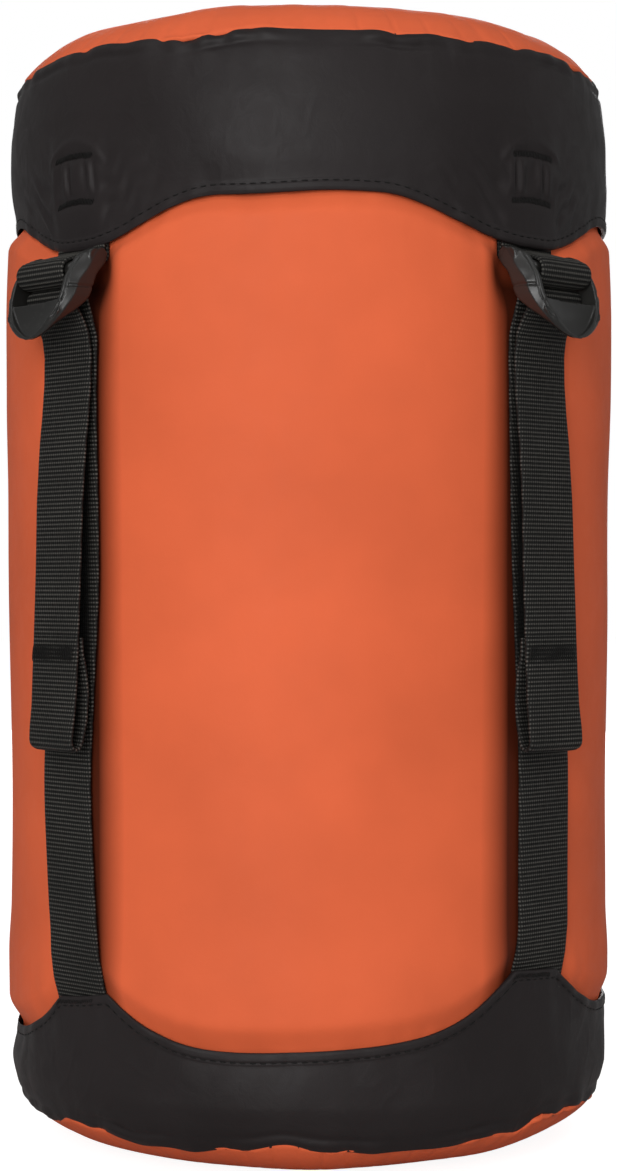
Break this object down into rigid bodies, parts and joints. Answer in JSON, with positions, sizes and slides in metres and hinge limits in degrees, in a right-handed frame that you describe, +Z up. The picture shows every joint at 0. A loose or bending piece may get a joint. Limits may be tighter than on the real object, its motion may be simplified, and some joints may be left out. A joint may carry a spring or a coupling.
{
  "type": "compression sack",
  "caption": "Round fabric stuff sack squeezed along its axis between a base cup and a domed lid by webbing straps with ladder-lock buckles, over a drawcord mouth.",
  "frame": {"origin": "centre of the flat ring the sack stands on", "axes": "+Z up along the sack's axis, -Y towards the front, midway between two straps"},
  "size_m": [0.1764, 0.1764, 0.321],
  "materials": {
    "orange_nylon": "satin",
    "black_nylon": "satin",
    "webbing": "matt",
    "thread": "satin",
    "cord": "matt",
    "acetal": "satin",
    "spring_steel": "satin"
  },
  "bodies": {
    "base": {"base_disc": "orange_nylon", "base_band": "black_nylon", "base_handle": "webbing", "handle_tacks": "thread", "anchor_tacks": "thread", "body_lower": "orange_nylon", "strap_front_left": "webbing", "strap_front_right": "webbing", "strap_back_right": "webbing", "strap_back_left": "webbing"},
    "mouth": {"body_upper": "orange_nylon", "mouth_collar": "orange_nylon", "drawcord": "cord"},
    "cord_lock": {"cord_lock_body": "acetal", "cord_lock_spring": "spring_steel"},
    "lock_plunger": {"cord_lock_plunger": "acetal"},
    "lid": {"lid_disc": "orange_nylon", "lid_skirt": "black_nylon", "loop_tacks": "thread", "buckle_loop_front_left": "webbing", "buckle_loop_front_right": "webbing", "buckle_loop_back_right": "webbing", "buckle_loop_back_left": "webbing"},
    "buckle_body_front_left": {"buckle_front_left": "acetal"},
    "tail_front_left": {"strap_tail_front_left": "webbing", "pull_loop_front_left": "webbing", "pull_tack_front_left": "thread"},
    "buckle_body_front_right": {"buckle_front_right": "acetal"},
    "tail_front_right": {"strap_tail_front_right": "webbing", "pull_loop_front_right": "webbing", "pull_tack_front_right": "thread"},
    "buckle_body_back_right": {"buckle_back_right": "acetal"},
    "tail_back_right": {"strap_tail_back_right": "webbing", "pull_loop_back_right": "webbing", "pull_tack_back_right": "thread"},
    "buckle_body_back_left": {"buckle_back_left": "acetal"},
    "tail_back_left": {"strap_tail_back_left": "webbing", "pull_loop_back_left": "webbing", "pull_tack_back_left": "thread"}
  },
  "joints": [
    {"name": "compress", "type": "slide", "parent": "base", "child": "mouth", "axis": [0, 0, 1], "range_m": [-0.11, 0.045], "deforming": ["strap_front_left", "strap_front_right", "strap_back_right", "strap_back_left"]},
    {"name": "lid_lift", "type": "slide", "parent": "mouth", "child": "lid", "axis": [0, 0, 1], "range_m": [0, 0.04]},
    {"name": "cord_lock_slide", "type": "slide", "parent": "mouth", "child": "cord_lock", "axis": [1, 0, 0], "range_m": [0, 0.016]},
    {"name": "lock_press", "type": "slide", "parent": "cord_lock", "child": "lock_plunger", "axis": [0, 1, 0], "range_m": [0, 0.0035], "stiffness_N_per_m": 900, "springref_m": -0.001, "deforming": ["cord_lock_spring"]},
    {"name": "buckle_tilt_front_left", "type": "hinge", "parent": "lid", "child": "buckle_body_front_left", "pos_m": [-0.06859, -0.06859, 0.2435], "axis": [-0.7071, 0.7071, 0], "range_deg": [-10, 35]},
    {"name": "buckle_tilt_front_right", "type": "hinge", "parent": "lid", "child": "buckle_body_front_right", "pos_m": [0.06859, -0.06859, 0.2435], "axis": [-0.7071, -0.7071, 0], "range_deg": [-10, 35]},
    {"name": "buckle_tilt_back_right", "type": "hinge", "parent": "lid", "child": "buckle_body_back_right", "pos_m": [0.06859, 0.06859, 0.2435], "axis": [0.7071, -0.7071, 0], "range_deg": [-10, 35]},
    {"name": "buckle_tilt_back_left", "type": "hinge", "parent": "lid", "child": "buckle_body_back_left", "pos_m": [-0.06859, 0.06859, 0.2435], "axis": [0.7071, 0.7071, 0], "range_deg": [-10, 35]},
    {"name": "tail_slide_front_left", "type": "slide", "parent": "lid", "child": "tail_front_left", "axis": [0, 0, 1], "range_m": [-0.11, 0.045], "deforming": ["strap_tail_front_left"]},
    {"name": "tail_slide_front_right", "type": "slide", "parent": "lid", "child": "tail_front_right", "axis": [0, 0, 1], "range_m": [-0.11, 0.045], "deforming": ["strap_tail_front_right"]},
    {"name": "tail_slide_back_right", "type": "slide", "parent": "lid", "child": "tail_back_right", "axis": [0, 0, 1], "range_m": [-0.11, 0.045], "deforming": ["strap_tail_back_right"]},
    {"name": "tail_slide_back_left", "type": "slide", "parent": "lid", "child": "tail_back_left", "axis": [0, 0, 1], "range_m": [-0.11, 0.045], "deforming": ["strap_tail_back_left"]}
  ],
  "couplings": [
    {"joint": "tail_slide_front_left", "follows": "compress", "ratio": 1},
    {"joint": "tail_slide_front_right", "follows": "compress", "ratio": 1},
    {"joint": "tail_slide_back_right", "follows": "compress", "ratio": 1},
    {"joint": "tail_slide_back_left", "follows": "compress", "ratio": 1}
  ]
}
